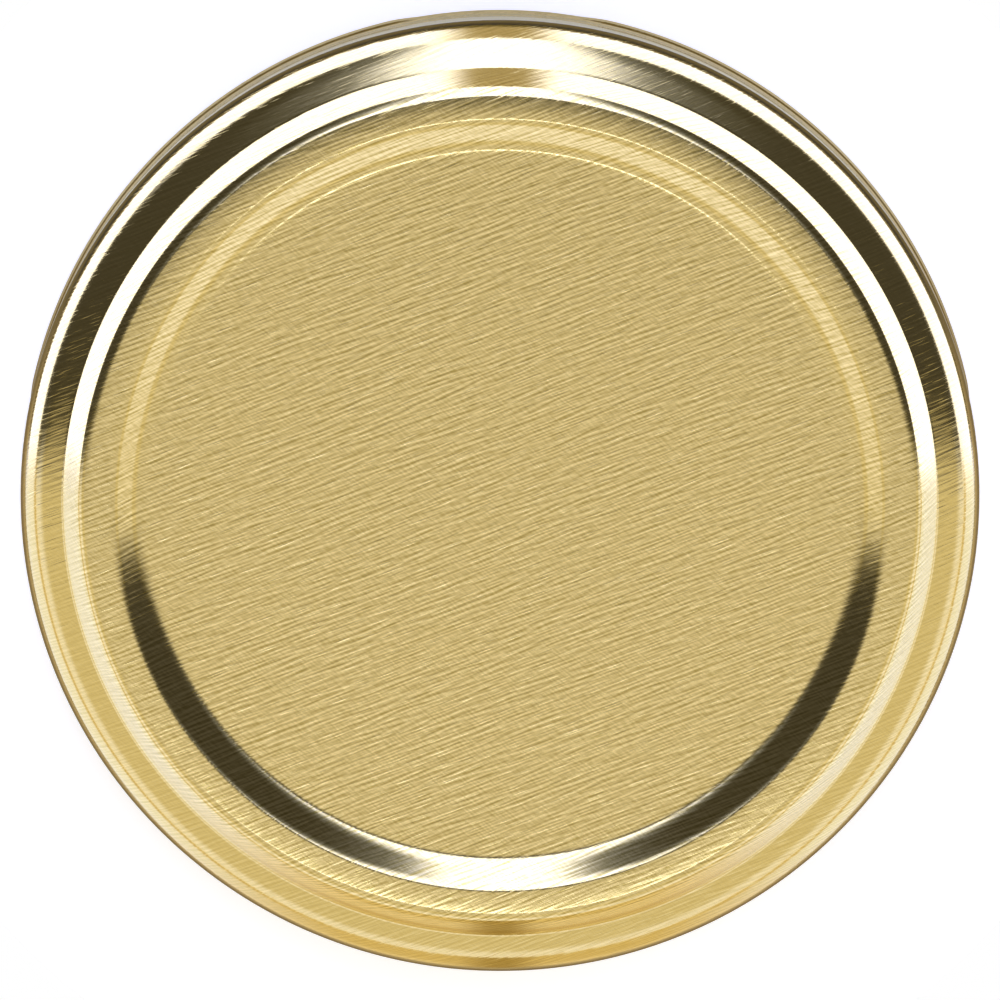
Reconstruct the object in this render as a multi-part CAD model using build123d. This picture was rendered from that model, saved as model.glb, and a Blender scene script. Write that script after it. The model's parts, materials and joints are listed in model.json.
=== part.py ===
from build123d import *
import os
from math import acos, cos, degrees, radians, sin, tan

# Twist-off lid of a glass jar, in millimetres.
# It lies panel up and open side down: Z is the lid's axis and z = 0 is the bottom of its curl.
# The shell is one drawn sheet. Every section below is that sheet's true section, drawn with
# x as the radius and y as the height, and turned about the axis.

# Neck of the jar that the lid closes
neck_wall_diameter = 44.9    # outside of the plain glass wall above the threads
rim_width = 3.2              # glass rim that presses into the sealing ring
thread_height = 1.4          # how far the glass threads stand out of the wall

# Sheet and overall height
sheet = 0.18                 # tinplate thickness
lid_height = 9.5             # bottom of the curl to top of the crown

# Panel, crown, ledge and shoulder, measured on the outer side of the sheet
bore_gap = 0.3               # inner foot of the crown to the glass bore
panel_recess = 0.7           # flat centre below the crown
inner_step_slope = 29.0      # degrees
inner_foot_radius = 1.6
inner_crown_radius = 1.0
wall_gap = 0.3               # outer foot of the crown to the plain glass wall
outer_step_height = 1.35
outer_step_slope = 55.0      # degrees
outer_crown_radius = 0.9
outer_foot_radius = 0.5
ledge_slope = 17.0           # degrees
shoulder_radius = 2.1
thread_gap = 1.3             # skirt to the crest of the glass threads

# Curl: the sheet's lower edge, swung out a little and rolled inwards
curl_proud = 0.3             # how far the curl stands out of the skirt
swing_radius = 0.8           # bend from the straight skirt out to the curl
curl_radius = 0.66
curl_flat = 0.05
curl_tuck = 0.1              # last straight stretch up to the raw edge

# Lugs: stretches of the curl pressed flat and inwards, which catch under the glass threads
lug_count = 4
lug_length = 8.0             # full-depth stretch along the skirt
lug_run_in = 1.8             # stretch at each end in which the curl turns into the lug
lug_catch = 0.85             # how far a lug reaches under the thread crest
lug_proud = 0.2              # the pressed stretch stands out less than the curl
lug_bend_radius = 0.5
lug_tip_radius = 0.32
lug_rise = 8.0               # degrees, upwards to the tip
lug_lift = 0.12              # lug clear above the curl's bottom
lug_tuck = 1.0

# Sealing ring: compound flowed into the crown's channel
compound_depth = 0.8         # from the sheet down to the land
compound_spread = 0.4        # it thins out onto the panel this far each side of the crown's foot

neck_radius = neck_wall_diameter / 2
thread_crest = neck_radius + thread_height
skirt_radius = thread_crest + thread_gap + sheet
inner_foot = neck_radius - rim_width - bore_gap
outer_foot = neck_radius + wall_gap + sheet
panel_top = lid_height - panel_recess
ledge_top = lid_height - outer_step_height
inner_crown = inner_foot + panel_recess / tan(radians(inner_step_slope))
outer_crown = outer_foot - outer_step_height / tan(radians(outer_step_slope))
shoulder_top = ledge_top - (skirt_radius - outer_foot) * tan(radians(ledge_slope))
# The skirt's straight wall is split here: full turns above, lug stretches below.
split_height = curl_radius * 4
# The curved ends of the lug stretches follow the turned skirt this closely.
join_tolerance = 0.001


def offset_corners(corners, distance):
    """Corners of the same polyline on the other side of a sheet of that thickness."""
    moved = []
    for index, corner in enumerate(corners):
        before = corners[max(index - 1, 0)]
        after = corners[min(index + 1, len(corners) - 1)]
        into = (corner - before).normalized() if index else (after - corner).normalized()
        out = (after - corner).normalized() if index < len(corners) - 1 else into
        inward_in = into.rotate(Axis.Z, -90)
        inward_out = out.rotate(Axis.Z, -90)
        mitre = (inward_in + inward_out).normalized()
        moved.append(corner + mitre * (distance / mitre.dot(inward_in)))
    return moved


def sheet_side(distance):
    """One side of the sheet from the axis to the split in the skirt, that deep under the outside."""
    corners = [
        Vector(0, panel_top),
        Vector(inner_foot, panel_top),
        Vector(inner_crown, lid_height),
        Vector(outer_crown, lid_height),
        Vector(outer_foot, ledge_top),
        Vector(skirt_radius, shoulder_top),
        Vector(skirt_radius, split_height),
    ]
    radii = [
        inner_foot_radius + distance,
        inner_crown_radius - distance,
        outer_crown_radius - distance,
        outer_foot_radius + distance,
        shoulder_radius - distance,
    ]
    moved = offset_corners(corners, distance) if distance else corners
    return FilletPolyline(*moved, radius=radii)


def walk(start, heading, steps, distance):
    """One side of the sheet as runs and bends; a positive bend rolls the sheet inwards."""
    edges = []
    for length, bend, radius in steps:
        forward = Vector(cos(radians(heading)), sin(radians(heading)))
        inward = forward.rotate(Axis.Z, -90)
        if bend == 0:
            end = start + forward * length
            edges.append(Line(start + inward * distance, end + inward * distance))
            start = end
            continue
        turn = 1 if bend > 0 else -1
        centre = start + inward * (radius * turn)
        first_angle = heading + 90 * turn
        edges.append(CenterArc(centre, radius - distance * turn, first_angle, -bend))
        last_angle = radians(first_angle - bend)
        start = centre + Vector(cos(last_angle), sin(last_angle)) * radius
        heading -= bend
    return edges


def blend(first, last, share):
    return first + (last - first) * share


def rim_section(share):
    """Section of the sheet below the split: the plain curl at share 0, a full lug at share 1."""
    proud = blend(curl_proud, lug_proud, share)
    bend_radius = blend(curl_radius, lug_bend_radius, share)
    tip_radius = blend(curl_radius, lug_tip_radius, share)
    rise = blend(0, lug_rise, share)
    tuck = blend(curl_tuck, lug_tuck, share)
    bottom = blend(0, lug_lift, share)
    swing = degrees(acos(1 - proud / (swing_radius + bend_radius)))
    # The run between the two bends is as long as the lug's reach asks.
    lug_tip = thread_crest - lug_catch
    lug_outside = skirt_radius + lug_proud
    lug_run = (lug_outside - lug_bend_radius - lug_tip_radius - lug_tip) / cos(radians(lug_rise))
    run = blend(curl_flat, lug_run, share)
    bend_top = bottom + bend_radius + (swing_radius + bend_radius) * sin(radians(swing))
    steps = [
        (split_height - bend_top, 0, 0),
        (0, -swing, swing_radius),
        (0, swing + 90 + rise, bend_radius),
        (run, 0, 0),
        (0, 180, tip_radius),
        (tuck, 0, 0),
    ]
    start = Vector(skirt_radius, split_height)
    outside = walk(start, -90, steps, 0)
    inside = walk(start, -90, steps, sheet)
    top = Line(outside[0] @ 0, inside[0] @ 0)
    raw_edge = Line(outside[-1] @ 1, inside[-1] @ 1)
    return make_face([*outside, *inside, top, raw_edge])


def upright(section, angle=0):
    """A flat section stood up through the lid's axis, at that angle round it."""
    return section.rotate(Axis.X, 90).rotate(Axis.Z, angle)


def lug_stretch():
    """One lug with the run-in at each end, centred on the X axis."""
    half_lug = degrees(lug_length / 2 / skirt_radius)
    run_in = degrees(lug_run_in / skirt_radius)
    lug = revolve(upright(rim_section(1), -half_lug), Axis.Z, 2 * half_lug)
    shares = [0, 0.5, 1]
    far = loft([upright(rim_section(s), half_lug + run_in * (1 - s)) for s in reversed(shares)])
    near = loft([upright(rim_section(s), -half_lug - run_in * (1 - s)) for s in shares])
    return [near, lug, far], half_lug + run_in


def lid_shell():
    """Panel, crown, ledge, shoulder, skirt, curl and lugs, all of one sheet."""
    outside = sheet_side(0)
    inside = sheet_side(sheet)
    closing = [Line(outside @ 0, inside @ 0), Line(outside @ 1, inside @ 1)]
    section = make_face([*outside.edges(), *inside.edges(), *closing])
    body = revolve(upright(section), Axis.Z)
    pitch = 360 / lug_count
    stretch, half_width = lug_stretch()
    curl = revolve(upright(rim_section(0), half_width), Axis.Z, pitch - 2 * half_width)
    pieces = []
    for index in range(lug_count):
        pieces += [piece.rotate(Axis.Z, index * pitch) for piece in [*stretch, curl]]
    return body.fuse(*pieces, tol=join_tolerance).clean()


def sealing_ring():
    """Compound that fills the channel under the crown, with a flat land for the glass rim."""
    land = lid_height - sheet - compound_depth
    under_panel = panel_top - sheet
    inside = sheet_side(sheet)
    below = Polyline(inside @ 1, (skirt_radius - sheet, 0), (0, 0), inside @ 0)
    under_sheet = make_face([*inside.edges(), *below.edges()])
    channel = make_face(
        Polyline(
            (inner_foot - compound_spread, under_panel),
            (inner_foot + compound_spread, land),
            (outer_foot, land),
            (outer_foot, lid_height),
            (inner_foot - compound_spread, lid_height),
            close=True,
        )
    )
    return revolve(upright(under_sheet & channel), Axis.Z)


os.makedirs("parts", exist_ok=True)
export_step(lid_shell(), "parts/lid_shell.step")
export_step(sealing_ring(), "parts/sealing_ring.step")
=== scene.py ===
import bpy
import bmesh
import json
from math import acos, atan2, cos, pi, radians, sin, tan
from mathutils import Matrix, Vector


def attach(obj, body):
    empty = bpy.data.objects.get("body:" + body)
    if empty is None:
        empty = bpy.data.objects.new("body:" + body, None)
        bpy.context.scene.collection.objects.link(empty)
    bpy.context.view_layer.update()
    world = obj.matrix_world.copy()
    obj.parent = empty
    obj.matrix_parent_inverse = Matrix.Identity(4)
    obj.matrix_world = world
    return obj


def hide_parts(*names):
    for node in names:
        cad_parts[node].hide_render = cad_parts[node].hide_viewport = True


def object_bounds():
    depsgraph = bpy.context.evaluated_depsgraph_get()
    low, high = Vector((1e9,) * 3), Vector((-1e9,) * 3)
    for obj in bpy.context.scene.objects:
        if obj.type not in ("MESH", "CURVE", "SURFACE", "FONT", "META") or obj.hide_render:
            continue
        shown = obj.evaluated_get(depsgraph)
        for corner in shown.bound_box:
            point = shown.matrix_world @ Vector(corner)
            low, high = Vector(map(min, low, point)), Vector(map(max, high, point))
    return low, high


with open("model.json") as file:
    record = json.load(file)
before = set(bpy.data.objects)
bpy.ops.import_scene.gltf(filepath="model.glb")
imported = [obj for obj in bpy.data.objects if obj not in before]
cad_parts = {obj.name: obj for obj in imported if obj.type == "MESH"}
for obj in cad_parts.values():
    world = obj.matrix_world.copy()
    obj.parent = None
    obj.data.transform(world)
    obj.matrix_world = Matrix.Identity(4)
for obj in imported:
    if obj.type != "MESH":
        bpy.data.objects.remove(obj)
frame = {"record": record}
cad_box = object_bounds()

# Twist-off lid, panel up and open side down, in metres. Z is its axis.
MM = 0.001
mounts = {mount["name"]: mount for mount in frame["record"]["mounts"]}

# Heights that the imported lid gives
lid_height = cad_box[1][2]
panel_top = mounts["panel_top"]["pos_m"][2]
land = mounts["sealing_land"]["pos_m"][2]

# The sheet's section, as the drawn lid has it
sheet = 0.18 * MM
skirt_radius = 25.33 * MM
inner_foot = 18.95 * MM
outer_foot = 22.93 * MM
inner_step_slope = radians(29)
inner_foot_radius = 1.6 * MM
inner_crown_radius = 1.0 * MM
outer_step_height = 1.35 * MM
outer_step_slope = radians(55)
outer_crown_radius = 0.9 * MM
outer_foot_radius = 0.5 * MM
ledge_slope = radians(17)
shoulder_radius = 2.1 * MM

# The curl and the lugs pressed in it
split_height = 2.64 * MM
swing_radius = 0.8 * MM
curl_radius = 0.66 * MM
curl_proud = 0.3 * MM
curl_flat = 0.05 * MM
curl_tuck = 0.1 * MM
lug_count = 4
lug_half_angle = 4.0 * MM / skirt_radius
lug_run_in = 1.8 * MM / skirt_radius
lug_tip = 23.0 * MM
lug_proud = 0.2 * MM
lug_bend_radius = 0.5 * MM
lug_tip_radius = 0.32 * MM
lug_rise = radians(8)
lug_lift = 0.12 * MM
lug_tuck = 1.0 * MM

# The sealing compound, as it cures in the channel
compound_spread = 0.4 * MM
meniscus = 0.12 * MM         # climb at the channel's wall
ripple = 0.02 * MM           # rise and fall of the land
edge_wobble = 0.07 * MM      # wander of the thin edge on the panel
bond_depth = 0.6             # its back lies this share of the sheet deep, so no gap shows
wall_bond = 0.3              # the same where the land meets the channel's wall

# How finely the turned shapes are divided
turns = 480
bend_steps = 8
land_steps = 4
merge_distance = 0.001 * MM

# The small table that the lid lies on; past its edge the white surroundings show
floor_radius = 36 * MM
floor_sides = 96


def linear(code):
    """An sRGB hex colour as the linear RGBA that shaders take."""
    parts = [int(code[start:start + 2], 16) / 255 for start in (0, 2, 4)]
    return [p / 12.92 if p <= 0.04045 else ((p + 0.055) / 1.055) ** 2.4 for p in parts] + [1.0]


def add_node(tree, kind, settings=None, inputs=None):
    """Adds a node. An input is a plain value or the output socket that feeds it."""
    made = tree.nodes.new(kind)
    for name, value in (settings or {}).items():
        setattr(made, name, value)
    for name, value in (inputs or {}).items():
        if isinstance(value, bpy.types.NodeSocket):
            tree.links.new(value, made.inputs[name])
        else:
            made.inputs[name].default_value = value
    return made


# Section of the sheet: points on its outer side, each with the direction into the lid

def bend_samples(start, heading, bend, radius):
    """Samples round a bend; a positive bend rolls the sheet inwards."""
    turn = 1 if bend > 0 else -1
    inward = Vector((sin(heading), -cos(heading)))
    centre = start + inward * radius * turn
    samples = []
    for step in range(bend_steps + 1):
        angle = heading - bend * step / bend_steps
        inward = Vector((sin(angle), -cos(angle)))
        samples.append((centre - inward * radius * turn, inward))
    return samples


def top_samples():
    """From the lid's axis over the panel, crown, ledge and shoulder to the skirt."""
    inner_crown = inner_foot + (lid_height - panel_top) / tan(inner_step_slope)
    outer_crown = outer_foot - outer_step_height / tan(outer_step_slope)
    ledge_top = lid_height - outer_step_height
    shoulder_top = ledge_top - (skirt_radius - outer_foot) * tan(ledge_slope)
    corners = [
        Vector((0, panel_top)),
        Vector((inner_foot, panel_top)),
        Vector((inner_crown, lid_height)),
        Vector((outer_crown, lid_height)),
        Vector((outer_foot, ledge_top)),
        Vector((skirt_radius, shoulder_top)),
        Vector((skirt_radius, split_height)),
    ]
    radii = [
        inner_foot_radius,
        inner_crown_radius,
        outer_crown_radius,
        outer_foot_radius,
        shoulder_radius,
    ]
    samples = [(corners[0], Vector((0, -1)))]
    for before, corner, after, radius in zip(corners, corners[1:], corners[2:], radii):
        into = corner - before
        out = after - corner
        heading = atan2(into.y, into.x)
        bend = heading - atan2(out.y, out.x)
        start = corner - into.normalized() * radius * tan(abs(bend) / 2)
        samples += bend_samples(start, heading, bend, radius)
    return samples


def rim_samples(share):
    """From the skirt to the raw edge, round a plain curl at share 0 or a full lug at share 1."""
    def blend(first, last):
        return first + (last - first) * share

    proud = blend(curl_proud, lug_proud)
    bend_radius = blend(curl_radius, lug_bend_radius)
    tip_radius = blend(curl_radius, lug_tip_radius)
    rise = blend(0, lug_rise)
    swing = acos(1 - proud / (swing_radius + bend_radius))
    lug_outside = skirt_radius + lug_proud
    lug_run = (lug_outside - lug_bend_radius - lug_tip_radius - lug_tip) / cos(lug_rise)
    bottom = blend(0, lug_lift)
    swing_top = bottom + bend_radius + (swing_radius + bend_radius) * sin(swing)
    point = Vector((skirt_radius, swing_top))
    heading = -pi / 2
    samples = [(Vector((skirt_radius, split_height)), Vector((-1, 0)))]
    for bend, radius, run in [
        (-swing, swing_radius, 0),
        (swing + pi / 2 + rise, bend_radius, blend(curl_flat, lug_run)),
        (pi, tip_radius, blend(curl_tuck, lug_tuck)),
    ]:
        samples += bend_samples(point, heading, bend, radius)
        heading -= bend
        point = samples[-1][0] + Vector((cos(heading), sin(heading))) * run
    return samples + [(point, samples[-1][1])]


def lug_share(angle):
    """1 in a lug, 0 in the plain curl, and eased between over the run-in."""
    pitch = 2 * pi / lug_count
    away = abs((angle + pitch / 2) % pitch - pitch / 2)
    part = min(max(1 - (away - lug_half_angle) / lug_run_in, 0), 1)
    return part * part * (3 - 2 * part)


def stand_up(point, angle):
    """A point of the section, stood up at that angle round the lid's axis."""
    return Vector((point.x * cos(angle), point.x * sin(angle), point.y))


# Drawn shell

def spin_outline(mesh, points):
    """Spins a closed outline about Z; each vertex remembers which point it came from."""
    rank = mesh.verts.layers.int.new("rank")
    verts = [mesh.verts.new(stand_up(point, 0)) for point in points]
    for index, vert in enumerate(verts):
        vert[rank] = index
    edges = [mesh.edges.new(pair) for pair in zip(verts, verts[1:])]
    bmesh.ops.spin(
        mesh, geom=verts + edges, cent=(0, 0, 0), axis=(0, 0, 1), angle=2 * pi, steps=turns,
        use_merge=True,
    )
    bmesh.ops.remove_doubles(mesh, verts=mesh.verts, dist=merge_distance)
    bmesh.ops.recalc_face_normals(mesh, faces=mesh.faces)
    return rank


def finish_piece(mesh, name, materials):
    """Makes the finished mesh an object at the origin."""
    data = bpy.data.meshes.new(name)
    mesh.to_mesh(data)
    mesh.free()
    for material in materials:
        data.materials.append(material)
    piece = bpy.data.objects.new(name, data)
    bpy.context.collection.objects.link(piece)
    return piece


def outline(samples):
    """The sheet's outline: down its outer side and back up its inner side."""
    outside = [point for point, inward in samples]
    inside = [point + inward * sheet for point, inward in samples]
    return outside + inside[::-1]


def drawn_shell(materials):
    """The whole sheet: outside, inside and raw edge, with the lugs pressed in the curl."""
    top = top_samples()
    plain = outline(top + rim_samples(0))
    count = len(plain)
    mesh = bmesh.new()
    rank = spin_outline(mesh, plain)
    # Below the top, each vertex moves to its place in the section of its own lug share.
    shapes = {}
    for vert in mesh.verts:
        index = vert[rank]
        if min(index, count - 1 - index) < len(top):
            continue
        angle = atan2(vert.co.y, vert.co.x)
        share = round(lug_share(angle), 5)
        if share not in shapes:
            shapes[share] = outline(top + rim_samples(share))
        vert.co = stand_up(shapes[share][index], angle)
    # The UV map lays the sheet out flat again, in metres, as the blank that it was drawn from.
    along = [0.0]
    for first, second in zip(plain[:count // 2], plain[1:count // 2]):
        along.append(along[-1] + (second - first).length)
    blank = mesh.loops.layers.uv.new("blank")
    gold, enamel, raw_edge = 0, 1, 2
    for face in mesh.faces:
        ranks = [vert[rank] for vert in face.verts]
        face.material_index = gold
        if max(ranks) >= count // 2:
            across_edge = 0 < min(ranks) < count // 2
            face.material_index = raw_edge if across_edge else enamel
        face.smooth = face.material_index != raw_edge
        for loop in face.loops:
            index = min(loop.vert[rank], count - 1 - loop.vert[rank])
            angle = atan2(loop.vert.co.y, loop.vert.co.x)
            loop[blank].uv = (along[index] * cos(angle), along[index] * sin(angle))
    for edge in mesh.edges:
        finishes = {face.material_index for face in edge.link_faces}
        edge.smooth = len(finishes) == 1
    return finish_piece(mesh, "drawn_shell", materials)


def waves(angle, slow, fast, start):
    """Two waves round the ring, so that it looks flowed and not turned; from -1 to 1."""
    return (sin(slow * angle) + sin(fast * angle + start)) / 2


def compound_ring(material):
    """Compound in the channel: it climbs the wall a little and thins out unevenly on the panel."""
    inner_edge = inner_foot - compound_spread
    wall_foot = land - meniscus
    ceiling = panel_top - sheet
    back = []
    for point, inward in top_samples():
        skin = point + inward * sheet
        if skin.x > inner_edge and skin.y > wall_foot:
            back.append(point + inward * sheet * bond_depth)
    step_run = outer_step_height / tan(outer_step_slope)
    wall_lean = sheet / sin(outer_step_slope)
    wall = outer_foot - step_run - wall_lean + (lid_height - wall_foot) / tan(outer_step_slope)
    front = [Vector((wall + sheet * wall_bond, wall_foot))]
    for step in range(bend_steps + 1):
        turn = pi / 2 * step / bend_steps
        out_from_wall = 2 * meniscus * (1 - cos(turn))
        front.append(Vector((wall - out_from_wall, wall_foot + meniscus * sin(turn))))
    land_edge = Vector((inner_foot + compound_spread, land))
    thin_edge = Vector((inner_edge, ceiling))
    for end in [land_edge, thin_edge]:
        start = front[-1]
        front += [start.lerp(end, step / land_steps) for step in range(1, land_steps + 1)]
    points = back + front
    mesh = bmesh.new()
    rank = spin_outline(mesh, points + points[:1])
    first_flat = len(back) + bend_steps + 2
    last = len(points) - 1
    for vert in mesh.verts:
        angle = atan2(vert.co.y, vert.co.x)
        if first_flat <= vert[rank] < last - 1:
            vert.co.z += ripple * waves(angle, 9, 17, 1)
        if vert[rank] == last:
            shift = edge_wobble * waves(angle, 6, 13, 2)
            vert.co.x += shift * cos(angle)
            vert.co.y += shift * sin(angle)
    for face in mesh.faces:
        face.smooth = True
    return finish_piece(mesh, "compound_ring", [material])


# Finishes

def gold_lacquered_tinplate():
    """Tinplate with a rolled grain under clear gold lacquer: fine slanting lines in a warm metal,
    with painted light and shade in the base colour that make them look crisp as an embossing, and
    neutral glints of the lacquer where it is seen edge on."""
    material = bpy.data.materials.new("gold_lacquered_tinplate")
    material.use_nodes = True
    tree = material.node_tree
    shader = tree.nodes["Principled BSDF"]
    shader.inputs["Metallic"].default_value = 1.0
    shader.inputs["Roughness"].default_value = 0.12
    shader.inputs["Coat Weight"].default_value = 1.0
    shader.inputs["Coat Roughness"].default_value = 0.05
    shader.inputs["Coat IOR"].default_value = 1.5
    grain_angle = radians(21)
    grain_length = 1.7 * MM
    grain_width = 0.15 * MM
    lit_side = 0.06 * MM
    cross_share = 0.35
    painted_shade_range = 0.33
    die_start = 22.0 * MM
    die_end = 23.4 * MM
    blank = add_node(tree, "ShaderNodeUVMap", {"uv_map": "blank"}).outputs["UV"]

    def lines(angle, length, width, detail, shift):
        """Noise drawn out into short lines of that length and width, shifted across them."""
        turned = add_node(tree, "ShaderNodeMapping", {"vector_type": "TEXTURE"}, {
            "Vector": blank,
            "Location": (-sin(angle) * shift, cos(angle) * shift, 0),
            "Rotation": (0, 0, angle),
            "Scale": (length, width, 1),
        })
        return add_node(tree, "ShaderNodeTexNoise", None, {
            "Vector": turned.outputs["Vector"], "Scale": 1.0, "Detail": detail, "Roughness": 0.5,
        }).outputs["Fac"]

    # Where the die has drawn the sheet over the outer step and the skirt, the lines lose most of
    # their painted light and shade and stand out in relief instead.
    from_centre = add_node(tree, "ShaderNodeVectorMath", {"operation": "LENGTH"}, {0: blank})
    painted_shade_share, relief = [
        add_node(tree, "ShaderNodeMapRange", None, {
            "Value": from_centre.outputs["Value"], "From Min": die_start, "From Max": die_end,
            "To Min": flat, "To Max": drawn,
        }).outputs["Result"]
        for flat, drawn in [(1.0, 0.3), (0.5, 1.0)]
    ]
    # Each line's light and shade are painted into the base colour, as if it were lit on one side:
    # its tone is its height less the height beside it. Weaker short marks cross the lines and
    # break them up.
    grain = lines(grain_angle, grain_length, grain_width, 0.6, 0)
    beside = lines(grain_angle, grain_length, grain_width, 0.6, lit_side)
    marks = lines(grain_angle - radians(60), 0.6 * MM, 0.09 * MM, 0.0, 9 * MM)
    painted_line_shade = add_node(tree, "ShaderNodeMath", {"operation": "SUBTRACT"}, {0: grain, 1: beside})
    cross = add_node(tree, "ShaderNodeMath", {"operation": "MULTIPLY_ADD"}, {
        0: marks, 1: cross_share, 2: painted_line_shade.outputs[0],
    })
    middle = cross_share / 2
    painted_line_tone = add_node(tree, "ShaderNodeMapRange", None, {
        "Value": cross.outputs[0],
        "From Min": middle - painted_shade_range, "From Max": middle + painted_shade_range,
        "To Min": -0.5, "To Max": 0.5,
    })
    painted_line_tone = add_node(tree, "ShaderNodeMath", {"operation": "MULTIPLY_ADD"}, {
        0: painted_line_tone.outputs["Result"], 1: painted_shade_share, 2: 0.5,
    })
    # The base colour runs from a dark gold to a pale gold with that painted shade and light.
    colour = add_node(tree, "ShaderNodeMix", {"data_type": "RGBA"}, {
        0: painted_line_tone.outputs[0], 6: linear("ab9033"), 7: linear("fce19b"),
    })
    tree.links.new(colour.outputs[2], shader.inputs["Base Color"])
    # Only the highest of a finer set of lines show, as single sharp scratches along the grain.
    scratch = add_node(tree, "ShaderNodeMapRange", None, {
        "Value": lines(grain_angle, 1.2 * MM, 0.06 * MM, 0.0, 5 * MM),
        "From Min": 0.62, "From Max": 0.9, "To Max": 0.6,
    })
    height = add_node(tree, "ShaderNodeMath", {"operation": "ADD"}, {
        0: grain, 1: scratch.outputs["Result"],
    })
    bump = add_node(tree, "ShaderNodeBump", None, {
        "Height": height.outputs[0], "Distance": 0.006 * MM, "Strength": relief,
    })
    tree.links.new(bump.outputs["Normal"], shader.inputs["Normal"])
    return material


def object_noise(tree, size, detail):
    """Noise with features of that size, fixed to the piece."""
    place = add_node(tree, "ShaderNodeTexCoord").outputs["Object"]
    return add_node(tree, "ShaderNodeTexNoise", None, {
        "Vector": place, "Scale": 1 / size, "Detail": detail,
    }).outputs["Fac"]


def white_enamel():
    """White food enamel on the inside of the sheet: glossy, with a faint orange peel."""
    material = bpy.data.materials.new("white_enamel")
    material.use_nodes = True
    tree = material.node_tree
    shader = tree.nodes["Principled BSDF"]
    shader.inputs["Base Color"].default_value = linear("efede4")
    shader.inputs["Roughness"].default_value = 0.25
    peel = add_node(tree, "ShaderNodeBump", None, {
        "Height": object_noise(tree, 0.6 * MM, 1.0), "Distance": 0.004 * MM,
    })
    tree.links.new(peel.outputs["Normal"], shader.inputs["Normal"])
    return material


def cut_tinplate():
    """The sheet's sheared edge: bare grey steel."""
    material = bpy.data.materials.new("cut_tinplate")
    material.use_nodes = True
    shader = material.node_tree.nodes["Principled BSDF"]
    shader.inputs["Base Color"].default_value = linear("b4b2ad")
    shader.inputs["Metallic"].default_value = 1.0
    shader.inputs["Roughness"].default_value = 0.4
    return material


def plastisol():
    """Cured sealing compound: soft off-white plastic with a satin skin and a faint flow."""
    material = bpy.data.materials.new("plastisol")
    material.use_nodes = True
    tree = material.node_tree
    shader = tree.nodes["Principled BSDF"]
    shader.inputs["Roughness"].default_value = 0.42
    shader.inputs["Subsurface Weight"].default_value = 0.3
    shader.inputs["Subsurface Scale"].default_value = 0.6 * MM
    tint = add_node(tree, "ShaderNodeMix", {"data_type": "RGBA"}, {
        0: object_noise(tree, 2.5 * MM, 2.0), 6: linear("d6d1c3"), 7: linear("e6e2d7"),
    })
    tree.links.new(tint.outputs[2], shader.inputs["Base Color"])
    flow = add_node(tree, "ShaderNodeBump", None, {
        "Height": object_noise(tree, 1.2 * MM, 1.0), "Distance": 0.02 * MM,
    })
    tree.links.new(flow.outputs["Normal"], shader.inputs["Normal"])
    return material


# Studio

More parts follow.
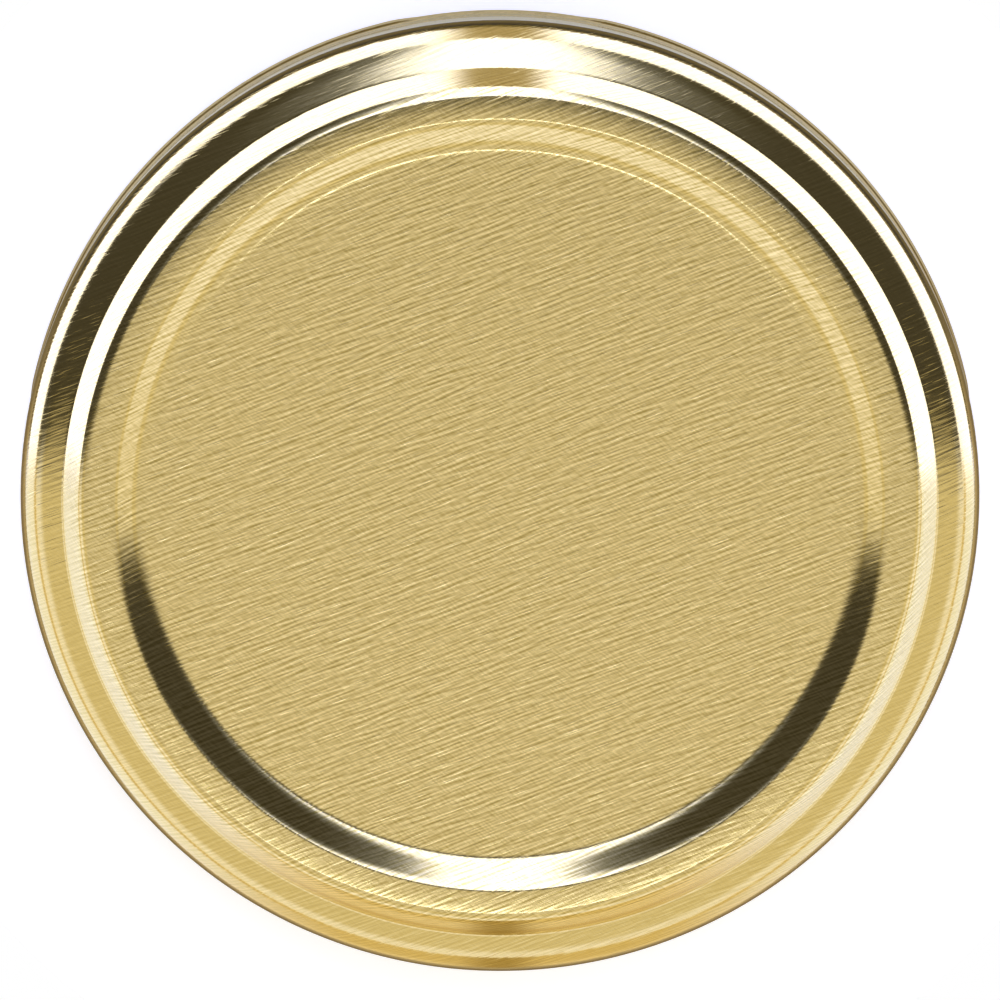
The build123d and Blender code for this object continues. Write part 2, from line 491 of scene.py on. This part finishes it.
def studio_world():
    """Surroundings by direction, as the gold mirrors them: a pale warm half in front (-Y) and a
    dark room behind (+Y), with white walls and a strip light. The camera sees plain white."""
    world = bpy.data.worlds.new("studio")
    bpy.context.scene.world = world
    world.use_nodes = True
    tree = world.node_tree
    tree.nodes.clear()
    direction = add_node(tree, "ShaderNodeTexCoord")
    split = add_node(tree, "ShaderNodeSeparateXYZ", None, {
        "Vector": direction.outputs["Generated"],
    })
    across = add_node(tree, "ShaderNodeMath", {"operation": "ABSOLUTE"}, {0: split.outputs["X"]})
    parts = {
        "across": across.outputs[0],
        "right": split.outputs["X"],
        "away": split.outputs["Y"],
        "height": split.outputs["Z"],
    }
    # Each zone has its light and the soft edges inside which it lies, from outside to inside, and
    # covers those before it. Near-white light is cool, because the gold takes its blue away.
    room_edge = ("away", -0.11, 0.02)
    zones = [
        # Front half: pale from high up, warm near the table, amber in its middle
        ((0.9, 0.87, 0.73), [("height", 0.85, 0.75)]),
        ((1.2, 1.27, 1.6), [("height", 0.66, 0.5)]),
        ((1.25, 1.3, 1.55), [("height", 0.42, 0.36)]),
        ((0.9, 0.77, 0.45), [("height", 0.34, 0.28)]),
        ((1.0, 0.87, 0.55), [("height", -0.3, -0.4)]),
        ((0.5, 0.38, 0.15), [("height", 0.34, 0.28), ("across", 0.09, 0.01)]),
        ((1.25, 1.4, 1.95), [("height", 0.24, 0.14), ("across", 0.25, 0.7)]),
        ((0.4, 0.33, 0.18), [("height", -0.42, -0.5), ("across", 0.5, 0.7)]),
        # One small lamp close to the panel's mirror image
        (
            (3.2, 3.6, 5.0),
            [("across", 0.16, 0.06), ("away", -0.31, -0.29), ("away", -0.24, -0.26)],
        ),
        # Room half: dark above, with one long strip light and its soft glow
        ((0.075, 0.075, 0.075), [room_edge]),
        ((0.3, 0.35, 0.55), [("away", 0.0, 0.12), ("across", 0.42, 0.1)]),
        ((2.5, 2.9, 5.2), [("away", 0.05, 0.12), ("across", 0.24, 0.07)]),
        # White walls round the room, lower on the left, with a gap in the middle and a dark foot
        ((2.3, 2.6, 4.4), [room_edge, ("height", 0.29, 0.19)]),
        ((2.3, 2.6, 4.4), [room_edge, ("height", 0.43, 0.33), ("right", -0.8, -0.6)]),
        ((0.56, 0.5, 0.36), [room_edge, ("height", 0.43, 0.33), ("across", 0.17, 0.06)]),
        ((0.2, 0.17, 0.08), [room_edge, ("height", -0.35, -0.42)]),
    ]
    # Straight overhead is the plain level at which a colour looks as it is written.
    seen = (0.85, 0.85, 0.85, 1)
    for light, edges in zones:
        inside = 1.0
        for part, outer, inner in edges:
            inside = add_node(tree, "ShaderNodeMapRange", {"interpolation_type": "SMOOTHSTEP"}, {
                "Value": parts[part], "From Min": outer, "From Max": inner, "To Max": inside,
            }).outputs["Result"]
        seen = add_node(tree, "ShaderNodeMix", {"data_type": "RGBA"}, {
            0: inside, 6: seen, 7: (*light, 1),
        }).outputs[2]
    path = add_node(tree, "ShaderNodeLightPath")
    shown = add_node(tree, "ShaderNodeMix", {"data_type": "RGBA"}, {
        0: path.outputs["Is Camera Ray"], 6: seen, 7: (1, 1, 1, 1),
    })
    light = add_node(tree, "ShaderNodeBackground", None, {"Color": shown.outputs[2]})
    out = add_node(tree, "ShaderNodeOutputWorld")
    tree.links.new(light.outputs[0], out.inputs[0])


def pale_floor():
    """A small white table. The camera sees it well exposed, so only the contact shadow shows,
    while the metal mirrors tones painted on it that stand in for shade and light round the lid."""
    mesh = bmesh.new()
    bmesh.ops.create_circle(mesh, cap_ends=True, segments=floor_sides, radius=floor_radius)
    material = bpy.data.materials.new("pale_floor")
    material.use_nodes = True
    tree = material.node_tree
    shader = tree.nodes["Principled BSDF"]
    shader.inputs["Roughness"].default_value = 1.0
    shader.inputs["Specular IOR Level"].default_value = 0.0
    shader.inputs["Emission Color"].default_value = (1, 1, 1, 1)
    camera_lift = 0.42
    camera_paint = (0.9, 0.87, 0.78, 1)
    path = add_node(tree, "ShaderNodeLightPath")
    lift = add_node(tree, "ShaderNodeMath", {"operation": "MULTIPLY"}, {
        0: path.outputs["Is Camera Ray"], 1: camera_lift,
    })
    tree.links.new(lift.outputs[0], shader.inputs["Emission Strength"])
    place = add_node(tree, "ShaderNodeTexCoord").outputs["Object"]
    side = add_node(tree, "ShaderNodeSeparateXYZ", None, {"Vector": place})
    behind = add_node(tree, "ShaderNodeMapRange", None, {
        "Value": side.outputs["Y"], "From Min": 2 * MM, "From Max": 16 * MM,
    }).outputs["Result"]
    radius = add_node(tree, "ShaderNodeVectorMath", {"operation": "LENGTH"}, {0: place})
    # Painted shade and light that only the metal mirrors, in rings outwards that each fade in
    # between two radii in
    # millimetres: one tone in front of the lid and one behind it. Dark tones close to the lid are
    # painted contact shade;
    # further out the floor is painted dark behind the lid and warm, as if lit, in front of it.
    painted_reflection_tone = None
    for start, end, front_painted_tone, back_painted_tone in [
        (0, 1, (0.35, 0.26, 0.11), (0.78, 0.73, 0.47)),
        (26.2, 26.6, (0.4, 0.3, 0.12), (0.95, 0.93, 0.78)),
        (27.0, 27.6, (0.32, 0.24, 0.1), (0.24, 0.19, 0.08)),
        (30, 34, (0.7, 0.56, 0.28), (0.07, 0.07, 0.07)),
    ]:
        ring_painted_tone = add_node(tree, "ShaderNodeMix", {"data_type": "RGBA"}, {
            0: behind, 6: (*front_painted_tone, 1), 7: (*back_painted_tone, 1),
        }).outputs[2]
        if painted_reflection_tone is None:
            painted_reflection_tone = ring_painted_tone
            continue
        beyond = add_node(tree, "ShaderNodeMapRange", None, {
            "Value": radius.outputs["Value"], "From Min": start * MM, "From Max": end * MM,
        })
        painted_reflection_tone = add_node(tree, "ShaderNodeMix", {"data_type": "RGBA"}, {
            0: beyond.outputs["Result"], 6: painted_reflection_tone, 7: ring_painted_tone,
        }).outputs[2]
    # The camera sees the even pale paint. Every other ray sees the painted shade and light.
    paint = add_node(tree, "ShaderNodeMix", {"data_type": "RGBA"}, {
        0: path.outputs["Is Camera Ray"], 6: painted_reflection_tone, 7: camera_paint,
    })
    tree.links.new(paint.outputs[2], shader.inputs["Base Color"])
    floor = finish_piece(mesh, "floor", [material])


def camera_above():
    """Looks down on the panel from a little towards +Y, so that a crescent of the skirt shows."""
    camera_data = bpy.data.cameras.new("camera")
    camera = bpy.data.objects.new("camera", camera_data)
    bpy.context.collection.objects.link(camera)
    radii_away = 14
    lean = radians(7.4)
    shoulder_height = 6.64 * MM
    radius_px = 480.5
    frame_px = 1000
    camera_data.sensor_width = 36
    camera_data.lens = radius_px / frame_px * camera_data.sensor_width * radii_away
    camera_data.clip_start = 0.01
    camera_data.shift_y = 0.001
    centre = Vector((0, 0, shoulder_height))
    camera.location = centre + Vector((0, sin(lean), cos(lean))) * (radii_away * skirt_radius)
    camera.rotation_euler = (-lean, 0, 0)
    bpy.context.scene.camera = camera


camera_above()
studio_world()
pale_floor()

shell = drawn_shell([gold_lacquered_tinplate(), white_enamel(), cut_tinplate()])
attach(shell, "root")
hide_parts("lid_shell")

ring = compound_ring(plastisol())
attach(ring, "root")
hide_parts("sealing_ring")

bpy.context.scene.view_settings.view_transform = "Standard"
